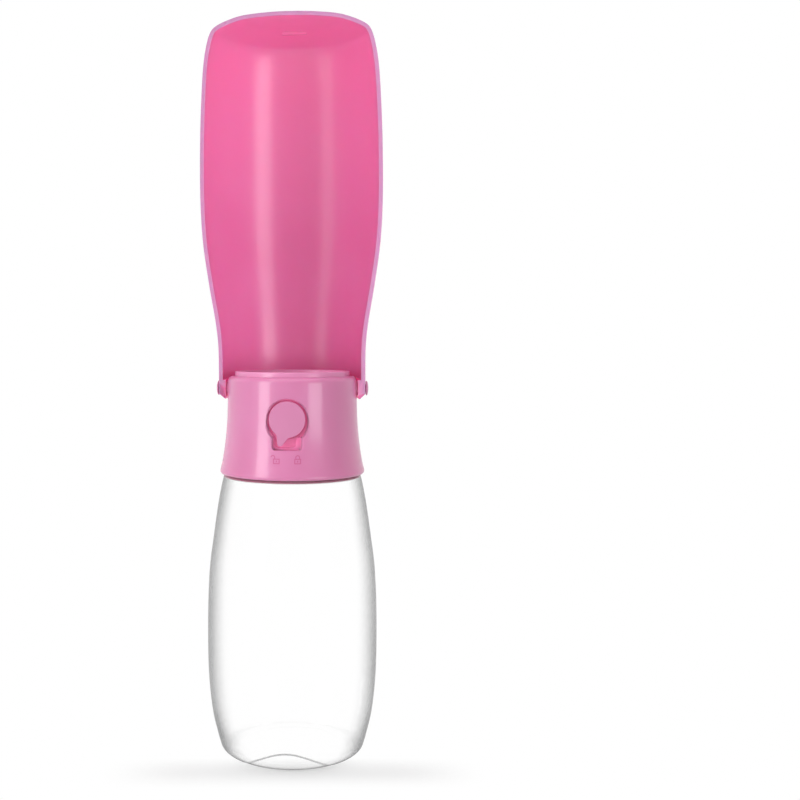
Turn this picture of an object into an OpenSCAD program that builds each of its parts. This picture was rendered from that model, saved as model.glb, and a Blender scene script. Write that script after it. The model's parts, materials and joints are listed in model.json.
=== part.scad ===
// Pet travel water bottle: a clear bottle under a valve cap, with a drinking trough hinged on the cap.
// Stored with the trough open. Millimetres, +Z up, origin on the floor under the bottle's axis, button to -Y.

/* [Bottle] */
// Widest diameter of the bottle
bottle_d = 80; // [78:0.5:86]
// Height of the bottle's body, up to the edge that the cap stands over
body_h = 129.5; // [118:0.5:150]
// Wall of the bottle
bottle_wall = 1.5; // [1.2:0.1:2]
// Outer diameter of the flat ring that the bottle stands on
foot_d = 57; // [54:0.5:60]
// Width of that ring
foot_w = 3.5; // [3:0.25:5]
// Diameter of the body at its upper edge
shoulder_d = 65.2; // [63:0.2:66]
// Height of the dome in the base
punt_h = 3; // [2:0.5:4]
// Outer diameter of the neck
neck_d = 40; // [38:0.5:41]
// Height of the neck above the shoulder's edge
neck_h = 17.4; // [16:0.2:18.4]
// Wall of the neck
neck_wall = 1.8; // [1.5:0.1:2.4]

/* [Lug thread] */
// Number of lugs on the neck, and on the cap
lugs = 3; // [2:1:4]
// How far the cap turns to come free, in degrees
unscrew = 60; // [50:1:70]
// Rise of the thread in one full turn
thread_lead = 4.8; // [3:0.3:6]
// How far a lug stands out
lug_out = 1.2; // [0.9:0.1:1.4]
// Height of a lug
lug_h = 1.6; // [1.2:0.1:2]
// Clearance between the neck's thread and the cap's
thread_gap = 0.3; // [0.25:0.05:0.4]

/* [Cap] */
// Diameter of the cap at its top
cap_d = 61.4; // [60:0.2:62.4]
// Widest diameter of the flared lower edge
flare_d = 68.7; // [67.6:0.2:69.6]
// Height of the cap from its lower edge to its flat top
cap_h = 46; // [45:0.5:50]
// Wall of the cap
cap_wall = 2; // [1.8:0.1:2.2]
// Radius of the rounded top edge
cap_round = 2.4; // [2.4:0.1:4.5]
// Gap between the bottle's shoulder edge and the cap's lower edge
cap_gap = 1.1; // [0.8:0.1:1.5]
// Diameter of the raised spout plate
spout_d = 54.7; // [50:0.5:55]
// Height of the spout plate above the cap's top
spout_h = 2.3; // [2:0.1:3]
// Diameter of the outlet hole
outlet_d = 9; // [7:0.5:9.5]

/* [Button] */
// Height of the button's axis above the cap's lower edge
button_up = 27.2; // [26.8:0.1:27.8]
// Diameter of the button
button_d = 16.4; // [15:0.2:17]
// Thickness of the button
button_t = 2.4; // [2.2:0.1:2.6]
// Gap round the button
button_gap = 2; // [1.6:0.1:2.2]
// How far the button stands out of the cap
button_proud = 0.45; // [0.3:0.05:0.8]
// How far the button is pressed to open the valve
press = 2.5; // [2:0.1:2.7]
// Reach of the button's pointer from its axis
pointer_reach = 12.5; // [12:0.1:12.8]
// Swing of the pointer to each side of straight down, in degrees
pointer_swing = 16; // [12:1:18]
// Half width of the pocket that the pointer swings in
pocket_w = 6.9; // [6.7:0.1:7.6]

/* [Valve] */
// Bore of the valve's chamber
chamber_d = 11.6; // [11:0.1:12]
// Wall of the valve's chamber
chamber_wall = 1.7; // [1.4:0.1:1.8]
// Diameter of the stem
stem_d = 3.2; // [2.8:0.1:3.4]
// Diameter of the valve seat's opening
seat_d = 7.2; // [6.6:0.1:7.6]
// Bore of the water passages above and below the chamber
port_d = 6.4; // [5.6:0.2:6.6]
// Wire of the return spring
wire_d = 0.7; // [0.6:0.05:0.8]
// Turns of the return spring
spring_turns = 5; // [4:1:7]
// Thickness of each flat rubber washer
washer_t = 0.8; // [0.6:0.1:1]
// Running clearance of the stem and of the hinge pins, on the radius
running_gap = 0.05; // [0.03:0.01:0.09]
// Gap left between parts that touch through rubber or rest on each other while moving
touch_gap = 0.1; // [0.05:0.05:0.15]

/* [Hinge] */
// Depth of the hinge axis below the top of the spout plate
hinge_drop = 8.1; // [7.8:0.1:9]
// Diameter of a hinge pin
pin_d = 3.7; // [3:0.1:4.2]
// Diameter of a hinge pin's domed head
pin_head_d = 7; // [6:0.1:7.6]
// Height of a hinge pin's domed head
pin_head_h = 1.2; // [0.9:0.1:1.6]
// Gap between the cap's side and the trough's band
band_gap = 1; // [0.9:0.05:1.3]
// Thickness of the trough's band
band_t = 3.3; // [3:0.1:3.8]

/* [Trough] */
// Wall of the trough
trough_wall = 1.8; // [1.5:0.1:2.1]
// Gap between the folded trough and the bottle's widest place
nest_gap = 1.4; // [1.2:0.1:3]
// Gap between the folded trough's end and the bottle's base
end_gap = 4.7; // [4.5:0.1:6]
// How far the trough's rim reaches past the cap's middle plane
rim_past = 4.2; // [3:0.1:5]
// Lean of the open trough towards the front, in degrees
open_lean = 3; // [0:0.5:5]
// Length of the trough's tail beyond the hinge axis
tail = 5.1; // [4.8:0.1:5.4]
// Width of the catch rib on the trough's end wall
catch_w = 12; // [8:0.5:16]

/* [Lanyard eye] */
// Hole of the lanyard eye
eye_d = 3; // [2.4:0.1:3.4]
// Thickness of the ring round that hole
eye_ring = 2.1; // [1.8:0.1:2.4]
// Width of the ring
eye_w = 3; // [2.5:0.1:4]
// Depth of the lanyard eye below the hinge axis
eye_drop = 10.8; // [10.4:0.1:12]

/* [Hidden] */
$fn = 96;
pink = [0.86, 0.50, 0.68];
pink_trough = [0.90, 0.42, 0.62];
clear = [0.85, 0.90, 0.93, 0.4];
white = [0.93, 0.93, 0.91];
rubber = [0.80, 0.80, 0.78];
steel = [0.72, 0.73, 0.75];
big = 200;

// Heights
cap_z = body_h + cap_gap;
cap_top = cap_z + cap_h;
spout_top = cap_top + spout_h;
hinge_z = spout_top - hinge_drop;
button_z = cap_z + button_up;
neck_top = body_h + neck_h;
seal_t = 1.3;
deck_z = neck_top + seal_t + 2 * touch_gap;
deck_t = 1.7;
deck_top = deck_z + deck_t;

// Radii
bottle_r = bottle_d / 2;
neck_r = neck_d / 2;
mouth_r = neck_r - neck_wall;
collar_r = neck_r + lug_out + thread_gap;
collar_wall = 1.8;
cap_r = cap_d / 2;
band_r = cap_r + band_gap;
hinge_r = band_r + band_t;
belly_r = bottle_r + nest_gap + trough_wall;

// Outlines: each pair is a share of the length and a share of the swell between the two end radii.
body_outline = [[0, 0.04], [0.02, 0.36], [0.062, 0.615], [0.137, 0.80], [0.24, 0.94], [0.355, 1]];
upper_outline = [[0.525, 1], [0.664, 0.89], [0.772, 0.66], [0.884, 0.39], [0.953, 0.18], [1, 0]];
cap_outline = [[0.03, 1], [0.125, 0.72], [0.33, 0.34], [0.54, 0.12], [0.75, 0.04]];
trough_outline = [[-0.06, 0], [0.05, 0], [0.12, 0.03], [0.185, 0.19], [0.285, 0.55], [0.395, 0.87], [0.51, 1],
                  [0.65, 0.99], [0.77, 0.90], [0.86, 0.77], [0.917, 0.57], [0.951, 0.32]];
trough_end = [[0.967, 0.80], [0.982, 0.66], [0.992, 0.51], [0.998, 0.28], [1, 0.12]];

// A smooth curve through points, with n steps between two of them
function curve(a, b, c, d, t) =
    0.5 * (2 * b + (c - a) * t + (2 * a - 5 * b + 4 * c - d) * t * t + (3 * b - a - 3 * c + d) * t * t * t);
function smooth(p, n) = let (last = len(p) - 1) [
    for (i = [0:last - 1], s = [0:n - 1])
        curve(p[max(i - 1, 0)], p[i], p[i + 1], p[min(i + 2, last)], s / n),
    p[last]];
// The same path moved d towards the axis side, for a wall of even thickness
function inset(p, d) = let (last = len(p) - 1) [
    for (i = [0:last])
        let (t = p[min(i + 1, last)] - p[max(i - 1, 0)], q = p[i] + d * [-t.y, t.x] / norm(t))
        [max(q.x, 0), q.y]];
function arc(x, y, r, a0, a1, n) = [
    for (i = [0:n]) let (a = a0 + (a1 - a0) * i / n) [x + r * cos(a), y + r * sin(a)]];

body_path = smooth(concat(
    [for (p = body_outline) [foot_d / 2 + p[1] * (bottle_r - foot_d / 2), p[0] * body_h]],
    [for (p = upper_outline) [shoulder_d / 2 + p[1] * (bottle_r - shoulder_d / 2), p[0] * body_h]]), 4);
cap_path = concat(
    smooth(concat([[flare_d / 2 - 0.5, cap_z]],
        [for (p = cap_outline) [cap_r + p[1] * (flare_d / 2 - cap_r), cap_z + p[0] * cap_h]],
        [[cap_r, cap_top - cap_round]]), 4),
    arc(cap_r - cap_round, cap_top - cap_round, cap_round, 10, 90, 8));
trough_len = hinge_z + end_gap + trough_wall;
trough_path = smooth(concat(
    [for (p = trough_outline) [hinge_r + p[1] * (belly_r - hinge_r), p[0] * trough_len]],
    [for (p = trough_end) [p[1] * belly_r, p[0] * trough_len]]), 4);

// ---- Shared shapes ----

// A cylinder along Y, from y0 to y1, on the button's axis
module on_axis(y0, y1, r) {
    translate([0, y0, button_z]) rotate([-90, 0, 0]) cylinder(h = y1 - y0, r = r);
}

// A ring along Y on the button's axis
module axis_ring(y0, y1, r, hole) {
    difference() {
        on_axis(y0, y1, r);
        on_axis(y0 - 1, y1 + 1, hole);
    }
}

// A rubber ring of round section, round the button's axis
module o_ring(y, r, section) {
    translate([0, y, button_z]) rotate([90, 0, 0])
        rotate_extrude() translate([r, 0]) circle(r = section, $fn = 32);
}

module flat_washer(z, x, y, r, hole, t) {
    translate([x, y, z]) difference() {
        cylinder(h = t, r = r);
        translate([0, 0, -1]) cylinder(h = t + 2, r = hole);
    }
}

// One screw lug: a ridge from r0 to r1 that rises with the thread, over the angles a0 to a1
module lug(r0, r1, z0, a0, a1, h) {
    steps = 8;
    at = function (r, z, a) [r * cos(a), r * sin(a), z + thread_lead * (a - a0) / 360];
    rows = [for (i = [0:steps]) let (a = a0 + (a1 - a0) * i / steps)
        [at(r0, z0, a), at(r1, z0, a), at(r1, z0 + h, a), at(r0, z0 + h, a)]];
    sides = [for (i = [0:steps - 1], k = [0:3]) let (b = 4 * i, m = (k + 1) % 4)
        [b + k, b + m, b + 4 + m, b + 4 + k]];
    polyhedron([for (row = rows, p = row) p], concat([[3, 2, 1, 0]], sides, [[for (k = [0:3]) 4 * steps + k]]));
}

// ---- Bottle ----

// The lugs' lower edge above the body, the turn left free between lugs, and how deep a lug is rooted
lug_up = 9.5;
lug_slack = 8;
lug_root = 0.4;
lug_z = body_h + lug_up;
lug_span = (360 / lugs - unscrew) - lug_slack;
front = 270;
// The shoulder, as distances in from the body's edge, out from the neck and up from the body
shoulder_in = 2;
shoulder_up = 1.4;
root_out = 4;
root_up = 3;
neck_up = 5;
inner_in = 2.4;
inner_up = 0.2;
inner_neck_up = 4;
floor_share = 1.3;

module bottle() {
    inner = inset(body_path, bottle_wall);
    punt_r = foot_d / 2 - foot_w;
    punt_ball = (punt_r * punt_r + punt_h * punt_h) / (2 * punt_h);
    floor_t = bottle_wall * floor_share;
    color(clear) difference() {
        union() {
            rotate_extrude() polygon(concat([[0, 0]], body_path,
                [[shoulder_d / 2 - shoulder_in, body_h + shoulder_up], [neck_r + root_out, body_h + root_up],
                 [neck_r, body_h + neck_up], [neck_r, neck_top], [0, neck_top]]));
            for (i = [0:lugs - 1])
                lug(neck_r - lug_root, neck_r + lug_out, lug_z, front + 360 / lugs * i,
                    front + 360 / lugs * i + lug_span, lug_h);
        }
        difference() {
            rotate_extrude() polygon(concat([[0, inner[0].y]], inner,
                [[shoulder_d / 2 - inner_in, body_h + inner_up], [mouth_r + root_out, body_h + shoulder_up],
                 [mouth_r, body_h + inner_neck_up], [mouth_r, neck_top + 1], [0, neck_top + 1]]));
            translate([0, 0, punt_h - punt_ball]) sphere(r = punt_ball + floor_t);
        }
        translate([0, 0, punt_h - punt_ball]) sphere(r = punt_ball);
    }
}

module neck_seal() {
    color(rubber) flat_washer(neck_top + touch_gap, 0, 0, neck_r + lug_out, mouth_r + 0.2, seal_t);
}

// ---- Cap ----

face_r = cap_r + 0.04 * (flare_d / 2 - cap_r) + 0.2;
button_face = -face_r - button_proud;
button_back = button_face + button_t;
pointer_t = button_t / 2;
recess_floor = button_back + press + 0.4;
pocket_floor = button_face + pointer_t + press + 0.3;
pad_back = recess_floor + cap_wall;
recess_r = button_d / 2 + button_gap;
hub_r = stem_d / 2 + 1.4;
pocket_low = pointer_reach + 1.4;
pin_in = 2.3;
pin_start = cap_r - cap_wall - pin_in;
boss_wall = 1.8;
stop_w = 8;
stop_h = 3;
stop_drop = 1.75;
stop_bite = 0.8;
eye_gap = 0.7;
eye_y = cap_r + eye_d / 2 + eye_gap;

module button_hollow(grow, floor_y, pocket_y) {
    on_axis(-big, floor_y, recess_r + grow);
    translate([-pocket_w - grow, -big, button_z - pocket_low - grow])
        cube([2 * (pocket_w + grow), big + pocket_y, pocket_low + grow]);
}

// Height of the lock marks above the cap's lower edge
mark_up = 7.4;
// Click rib in the pocket: height, depth rooted in the floor, and distance in from the pointer's tip
rib_h = 0.25;
rib_root = 0.5;
rib_in = 1.9;

module padlock(x, open) {
    // A lock's outline, 3 wide, cut as thin lines
    line = 0.4;
    size = [3, 2.4];
    bow = 1.05;
    lift = open ? 1.6 : 0;
    translate([x, 0, cap_z + mark_up]) rotate([90, 0, 0]) linear_extrude(height = big) {
        difference() {
            translate([-size.x / 2, 0]) square(size);
            translate([-size.x / 2 + line, line]) square(size - [2 * line, 2 * line]);
        }
        translate([-line / 2, 0.8]) square([line, 0.9]);
        translate([-lift, size.y]) difference() {
            union() {
                translate([0, 0.55]) circle(r = bow, $fn = 32);
                translate([-bow, 0]) square([2 * bow, 0.55]);
            }
            translate([0, 0.55]) circle(r = bow - line, $fn = 32);
            translate([-bow + line, -1]) square([2 * (bow - line), 1.55]);
            if (open) translate([-bow - 1, -1]) square([bow + 1, 1.4]);
        }
    }
}

module cap_solid(path, z1) {
    rotate_extrude() polygon(concat([[0, path[0].y]], path, [[0, z1]]));
}

module cap_shell() {
    boss_face = band_r - 0.3;
    color(pink) difference() {
        union() {
            difference() {
                cap_solid(cap_path, cap_top);
                cap_solid(concat([[cap_inner[0].x, cap_z - 1]], cap_inner), cap_top - cap_wall);
            }
            // Pad behind the button's recess
            intersection() {
                cap_solid(cap_path, cap_top);
                button_hollow(cap_wall, pad_back, pocket_floor + cap_wall);
            }
            // Seats of the hinge pins
            for (side = [-1, 1]) translate([side * pin_start, 0, hinge_z])
                rotate([0, side * 90, 0]) cylinder(h = boss_face - pin_start, r = pin_d / 2 + boss_wall);
            // Stop for the open trough, and the lanyard eye
            intersection() {
                translate([-stop_w / 2, cap_r - 1, hinge_z - stop_drop - stop_h])
                    cube([stop_w, big, stop_h]);
                cylinder(h = big, r = band_r + stop_bite);
            }
            translate([0, eye_y, hinge_z - eye_drop]) rotate([0, 90, 0])
                cylinder(h = eye_w, r = eye_d / 2 + eye_ring, center = true);
        }
        button_hollow(0, recess_floor, pocket_floor);
        on_axis(-big, 0, hub_r + 0.3);
        for (side = [-1, 1]) translate([side * (pin_start - 1), 0, hinge_z])
            rotate([0, side * 90, 0]) cylinder(h = big, r = pin_d / 2);
        translate([0, eye_y, hinge_z - eye_drop]) rotate([0, 90, 0])
            cylinder(h = big, r = eye_d / 2, center = true);
        translate([0, 0, cap_top - cap_wall - 1]) cylinder(h = big, r = spigot_r + running_gap);
        // Cut lock marks
        intersection() {
            union() { padlock(-4.7, true); padlock(4.9, false); }
            difference() {
                cap_solid(cap_path, cap_top);
                cap_solid(inset(cap_path, 0.35), cap_top - 1);
            }
        }
    }
    // Click rib between the pointer's two places
    color(pink) translate([0.9, pocket_floor + rib_root, button_z - pointer_reach + rib_in]) rotate([90, 0, 0])
        intersection() {
            cylinder(h = rib_h + rib_root, r = 0.9);
            translate([-0.5, -big / 2, -1]) cube([1, big, 2]);
        }
}

spigot_r = 12;
cap_inner = inset(cap_path, cap_wall);
liner_r = lookup(deck_top, [for (p = cap_inner) [p.y, p.x]]) - running_gap;

module threaded_liner() {
    color(white) difference() {
        union() {
            intersection() {
                translate([0, 0, deck_z]) cylinder(h = deck_t, r = liner_r);
                translate([-big / 2, pad_back + 0.3, 0]) cube([big, big, big]);
            }
            difference() {
                translate([0, 0, cap_z + 6]) cylinder(h = deck_z - cap_z - 6, r = collar_r + collar_wall);
                translate([0, 0, cap_z]) cylinder(h = cap_h, r = collar_r);
            }
            for (i = [0:lugs - 1])
                lug(neck_r + thread_gap, collar_r + lug_root, lug_z - thread_gap - lug_h,
                    front + 360 / lugs * i, front + 360 / lugs * i + lug_span, lug_h);
            for (side = [-1, 1]) translate([side * screw_x, screw_y, deck_z - post_len])
                cylinder(h = post_len + deck_t, r = post_r);
        }
        translate([0, inlet_y, 0]) cylinder(h = big, r = port_d / 2);
        for (side = [-1, 1]) translate([side * screw_x, screw_y, deck_z - post_len + 1])
            cylinder(h = big, r = screw_r);
    }
}

module spout_plate() {
    dish_r = spout_d / 2 - 3;
    spigot_low = button_z + chamber_r + port_boss_h + washer_t;
    color(pink) difference() {
        union() {
            translate([0, 0, cap_top]) cylinder(h = spout_h, r = spout_d / 2);
            translate([0, 0, spigot_low]) cylinder(h = cap_top - spigot_low + 1, r = spigot_r);
        }
        translate([0, 0, spout_top - 1]) cylinder(h = 2, r = dish_r);
        cylinder(h = big, r = outlet_d / 2);
        difference() {
            translate([0, 0, spigot_low - 1]) cylinder(h = cap_top - spigot_low, r = spigot_r - 1.8);
            cylinder(h = big, r = outlet_d / 2 + 1.8);
        }
    }
}

// ---- Valve: everything lies along Y on the button's axis ----

chamber_r = chamber_d / 2 + chamber_wall;
stem_r = stem_d / 2;
collar_y = pad_back + 0.3;
collar_t = 1.2;
spring_y = collar_y + collar_t;
spring_len = 10.6;
gland_y = spring_y + spring_len;
gland_t = 3;
o_ring_w = 1.6;
bulkhead_y = gland_y + gland_t;
outlet_chamber_y = bulkhead_y + o_ring_w + 2;
outlet_y = 0;
outlet_run = 10.4;
seat_y = outlet_chamber_y + outlet_run;
seat_t = 1.6;
poppet_y = seat_y + seat_t + touch_gap;
poppet_t = 1.4;
head_y = poppet_y + poppet_t;
head_t = 1.2;
inlet_y = head_y + 3.4;
plug_y = head_y + head_t + press + 1.4;
plug_len = 3.6;
body_end = plug_y + plug_len;
port_boss_h = 3.4;
port_wall = 1.8;
slip = 0.02;
groove_in = 0.8;
flange_t = 1.5;
screw_x = 12.6;
screw_y = 5;
screw_r = 1.2;
screw_tip = 2.6;
post_r = 2.8;
post_len = 4;
bar_t = 2.2;
bar_w = 6.8;

module port_boss(y, up) {
    z0 = up ? button_z : deck_top + washer_t;
    z1 = up ? button_z + chamber_r + port_boss_h : button_z;
    translate([0, y, z0]) cylinder(h = z1 - z0, r = port_d / 2 + port_wall);
}

module valve_body() {
    color(white) difference() {
        union() {
            on_axis(collar_y + 0.2, body_end, chamber_r);
            port_boss(outlet_y, true);
            port_boss(inlet_y, false);
            translate([-screw_x - 3, screw_y - bar_w / 2, deck_top]) cube([2 * screw_x + 6, bar_w, bar_t]);
        }
        // Spring end, gland seat, outlet chamber and inlet chamber
        on_axis(-big, bulkhead_y, chamber_d / 2);
        on_axis(bulkhead_y - 1, bulkhead_y + o_ring_w, stem_r + o_ring_w + touch_gap);
        on_axis(bulkhead_y, seat_y, stem_r + running_gap);
        on_axis(outlet_chamber_y, seat_y, chamber_d / 2);
        on_axis(seat_y - 1, seat_y + seat_t + 1, seat_d / 2);
        on_axis(seat_y + seat_t, body_end + 1, chamber_d / 2);
        translate([0, outlet_y, button_z]) cylinder(h = big, r = port_d / 2);
        translate([0, inlet_y, 0]) cylinder(h = button_z, r = port_d / 2);
        translate([0, inlet_y, 0]) cylinder(h = deck_top + washer_t, r = port_d / 2 + port_wall);
        for (side = [-1, 1]) translate([side * screw_x, screw_y, 0]) cylinder(h = big, r = screw_r);
    }
}

module end_plug() {
    groove = plug_y + groove_in;
    color(white) difference() {
        union() {
            on_axis(plug_y, body_end, chamber_d / 2 - slip);
            on_axis(body_end, body_end + flange_t, chamber_r);
        }
        difference() {
            on_axis(groove, groove + o_ring_w, chamber_r);
            on_axis(groove - 1, groove + o_ring_w + 1, chamber_d / 2 - o_ring_w);
        }
    }
}

module plug_o_ring() {
    half = o_ring_w / 2;
    color(rubber) o_ring(plug_y + groove_in + half, chamber_d / 2 - half - slip, half - slip);
}

module gland() {
    color(white) axis_ring(gland_y, bulkhead_y, chamber_d / 2 - slip, stem_r + running_gap);
}

module stem_o_ring() {
    half = o_ring_w / 2;
    color(rubber) o_ring(bulkhead_y + half, stem_r + running_gap + half, half - slip / 2);
}

module inlet_washer() {
    color(rubber) flat_washer(deck_top, 0, inlet_y, port_d / 2 + port_wall, port_d / 2, washer_t);
}

module outlet_washer() {
    color(rubber)
        flat_washer(button_z + chamber_r + port_boss_h, 0, outlet_y, outlet_d / 2 + 1.6, port_d / 2, washer_t);
}

module valve_screws() {
    top = deck_top + bar_t;
    head_t = 1.5;
    slot = [2.8, 0.6];
    color(steel) for (side = [-1, 1]) translate([side * screw_x, screw_y, 0]) difference() {
        union() {
            translate([0, 0, deck_z - screw_tip])
                cylinder(h = top - deck_z + screw_tip + 0.1, r = screw_r - 0.01);
            translate([0, 0, top]) cylinder(h = head_t, r = 2.3);
        }
        for (a = [0, 90]) translate([0, 0, top + head_t - 0.3]) rotate(a)
            cube([slot.x, slot.y, 1.2], center = true);
    }
}

module valve_stem() {
    color(steel) {
        on_axis(button_face + 0.9, head_y, stem_r);
        on_axis(head_y, head_y + head_t, seat_d / 2 + 0.8);
    }
}

module poppet_seal() { color(rubber) axis_ring(poppet_y, head_y, seat_d / 2 + 1.4, stem_r); }

module spring_collar() { color(steel) axis_ring(collar_y, collar_y + collar_t, chamber_d / 2 - 1, stem_r); }

// A round wire coiled along the button's axis
module valve_spring() {
    coil_r = chamber_d / 2 - 1.7;
    sides = 6;
    steps = 16 * spring_turns;
    length = spring_len - wire_d - 2 * touch_gap;
    ring = function (i) let (a = 360 * spring_turns * i / steps, y = length * i / steps) [
        for (k = [0:sides - 1]) let (r = coil_r + wire_d / 2 * cos(360 * k / sides))
            [r * cos(a), y + wire_d / 2 * sin(360 * k / sides), r * sin(a)]];
    faces = concat([[for (k = [0:sides - 1]) k]],
        [for (i = [0:steps - 1], k = [0:sides - 1]) let (b = sides * i, m = (k + 1) % sides)
            [b + k, b + sides + k, b + sides + m, b + m]],
        [[for (k = [sides - 1:-1:0]) sides * steps + k]]);
    color(steel) translate([0, spring_y + touch_gap + wire_d / 2, button_z])
        polyhedron([for (i = [0:steps], p = ring(i)) p], faces);
}

module button() {
    tip_r = 1.3;
    root = button_d / 2 - 1.4;
    tip = tip_r - pointer_reach;
    color(pink) difference() {
        translate([0, 0, button_z]) rotate([0, pointer_swing, 0]) translate([0, 0, -button_z]) union() {
            on_axis(button_face, button_back, button_d / 2);
            translate([0, button_face + pointer_t, button_z]) rotate([90, 0, 0])
                linear_extrude(height = pointer_t) {
                    polygon([[-2.8, -root], [2.8, -root], [tip_r, tip], [-tip_r, tip]]);
                    translate([0, tip]) circle(r = tip_r, $fn = 32);
                }
            on_axis(button_back - 1, collar_y - touch_gap, hub_r);
        }
        on_axis(button_face + 0.8, 0, stem_r + running_gap);
    }
}

// ---- Hinge pins ----

module hinge_pin(side) {
    head_r = pin_head_d / 2;
    ball = (head_r * head_r + pin_head_h * pin_head_h) / (2 * pin_head_h);
    seat = hinge_r + touch_gap;
    color(pink) translate([0, 0, hinge_z]) rotate([0, side * 90, 0]) {
        translate([0, 0, pin_start]) cylinder(h = seat - pin_start, r = pin_d / 2);
        intersection() {
            translate([0, 0, seat]) cylinder(h = pin_head_h, r = head_r);
            translate([0, 0, seat + pin_head_h - ball]) sphere(r = ball);
        }
    }
}

module hinge_pin_left() { hinge_pin(-1); }

module hinge_pin_right() { hinge_pin(1); }

// ---- Trough: drawn upright with the hinge axis at its origin and its open side to -Y ----

module trough_ball(path, end) {
    rotate_extrude() polygon(concat([[0, path[0].y]], path, [[0, end]]));
}

module trough() {
    floor_z = trough_len - trough_wall;
    inner = [for (p = inset(trough_path, trough_wall)) [p.x, min(p.y, floor_z)]];
    skirt = -trough_outline[0][0] * trough_len;
    band_top = 4.1;
    corner = 3;
    chamfer = 2.6;
    slant = open_lean;
    notch_w = 9;
    notch_up = 3.3;
    catch_r = foot_d / 2 - foot_w - 2.6;
    catch_gap = 1.3;
    catch_t = 1.5;
    spot_r = pin_d / 2 + boss_wall + 1;
    over = 2;
    color(pink_trough) translate([0, 0, hinge_z]) rotate([open_lean, 0, 0]) difference() {
        union() {
            difference() {
                trough_ball(trough_path, trough_len);
                trough_ball(concat([[inner[0].x, -skirt - 1]], inner), floor_z);
            }
            difference() {
                translate([0, 0, -skirt]) cylinder(h = skirt + band_top, r = hinge_r - 0.2);
                translate([0, 0, -big / 2]) cylinder(h = big, r = band_r);
            }
            // Catch rib on the end wall
            intersection() {
                trough_ball(trough_path, trough_len);
                translate([-catch_w / 2, catch_r, hinge_z + catch_gap])
                    cube([catch_w, catch_t, end_gap + trough_wall]);
            }
        }
        // Open side, with a rounded lower corner
        translate([-big / 2, -big - rim_past, -big]) cube([big, big, 2 * big]);
        rotate([-slant, 0, 0]) {
            translate([-big / 2, -big / 2, -big - tail]) cube([big, big, big]);
            translate([0, -rim_past, -tail]) difference() {
                translate([-big / 2, -3 * corner, -2 * corner]) cube([big, 4 * corner, 3 * corner]);
                translate([-big, corner, corner]) rotate([0, 90, 0]) cylinder(h = 2 * big, r = corner);
                translate([-big, corner, -big / 2]) cube([2 * big, big, big]);
                translate([-big, -big / 2, corner]) cube([2 * big, big, big]);
            }
            // Chamfer round the outside of the tail
            difference() {
                translate([0, 0, -tail - over / 2]) cylinder(h = chamfer + 2 * over, r = hinge_r + 4 * over);
                translate([0, 0, -tail - over])
                    cylinder(h = 4 * over, r1 = hinge_r - chamfer - over, r2 = hinge_r - chamfer + 3 * over);
            }
        }
        // Notch for the stop on the cap
        translate([-notch_w / 2, 0, -notch_up - big]) cube([notch_w, big, big]);
        // Hinge holes, and flat faces for the cap's bosses
        rotate([0, 90, 0]) cylinder(h = big, r = pin_d / 2 + running_gap, center = true);
        rotate([0, 90, 0]) cylinder(h = 2 * band_r + 0.2, r = spot_r, center = true);
    }
}

bottle();
neck_seal();
cap_shell();
threaded_liner();
spout_plate();
valve_body();
end_plug();
plug_o_ring();
gland();
stem_o_ring();
inlet_washer();
outlet_washer();
valve_screws();
valve_stem();
poppet_seal();
spring_collar();
valve_spring();
button();
hinge_pin_left();
hinge_pin_right();
trough();
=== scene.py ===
"""A pet travel water bottle: clear bottle, valve cap with a turning press button, and a folding trough.

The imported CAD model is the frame. Each operator below dresses one piece of it, or makes a smoother piece that
stands for it, and the stage operator adds floor, lights and camera. Lengths are in metres.
"""

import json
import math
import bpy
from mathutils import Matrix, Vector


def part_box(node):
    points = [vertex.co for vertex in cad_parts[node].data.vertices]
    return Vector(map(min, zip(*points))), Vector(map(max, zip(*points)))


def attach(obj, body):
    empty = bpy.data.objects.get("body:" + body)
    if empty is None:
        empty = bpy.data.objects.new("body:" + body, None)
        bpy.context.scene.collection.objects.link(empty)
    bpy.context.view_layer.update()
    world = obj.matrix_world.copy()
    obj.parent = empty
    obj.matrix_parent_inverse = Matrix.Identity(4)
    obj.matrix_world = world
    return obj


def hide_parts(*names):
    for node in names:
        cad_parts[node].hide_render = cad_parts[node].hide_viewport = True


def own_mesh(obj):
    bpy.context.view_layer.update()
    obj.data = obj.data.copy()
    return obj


bl_info = {
    "name": "Pet Travel Water Bottle",
    "version": (1, 0, 0),
    "blender": (4, 5, 0),
    "location": "View3D > Sidebar > Water Bottle",
    "description": "Builds a clear water bottle with a valve cap and a folding drinking trough",
    "category": "Object",
}

import bmesh
import bpy
from bpy.props import FloatProperty, FloatVectorProperty, IntProperty, PointerProperty
from mathutils import Matrix, Vector

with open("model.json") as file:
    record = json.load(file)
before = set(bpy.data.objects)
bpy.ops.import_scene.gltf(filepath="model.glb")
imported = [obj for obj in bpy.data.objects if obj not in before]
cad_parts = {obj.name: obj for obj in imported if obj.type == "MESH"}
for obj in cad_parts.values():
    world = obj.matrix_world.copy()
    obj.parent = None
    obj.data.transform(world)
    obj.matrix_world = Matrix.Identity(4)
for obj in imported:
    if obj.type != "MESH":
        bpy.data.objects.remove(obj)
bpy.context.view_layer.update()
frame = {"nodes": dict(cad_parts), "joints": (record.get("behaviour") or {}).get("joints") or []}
MM = 0.001
BLACK = (0, 0, 0)
WHITE = (1, 1, 1, 1)
JOINTS = {joint["name"]: joint for joint in frame["joints"]}
HINGE_Z = JOINTS["trough_fold"]["pos_m"][2]
BUTTON_Z = JOINTS["button_lock"]["pos_m"][2]
BOTTLE_LOW, BOTTLE_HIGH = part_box("bottle")
CAP_LOW, CAP_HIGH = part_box("cap_shell")
SPOUT_LOW, SPOUT_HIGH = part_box("spout_plate")
BUTTON_LOW, BUTTON_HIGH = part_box("button")
PIN_LOW, PIN_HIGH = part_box("hinge_pin_right")
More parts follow.
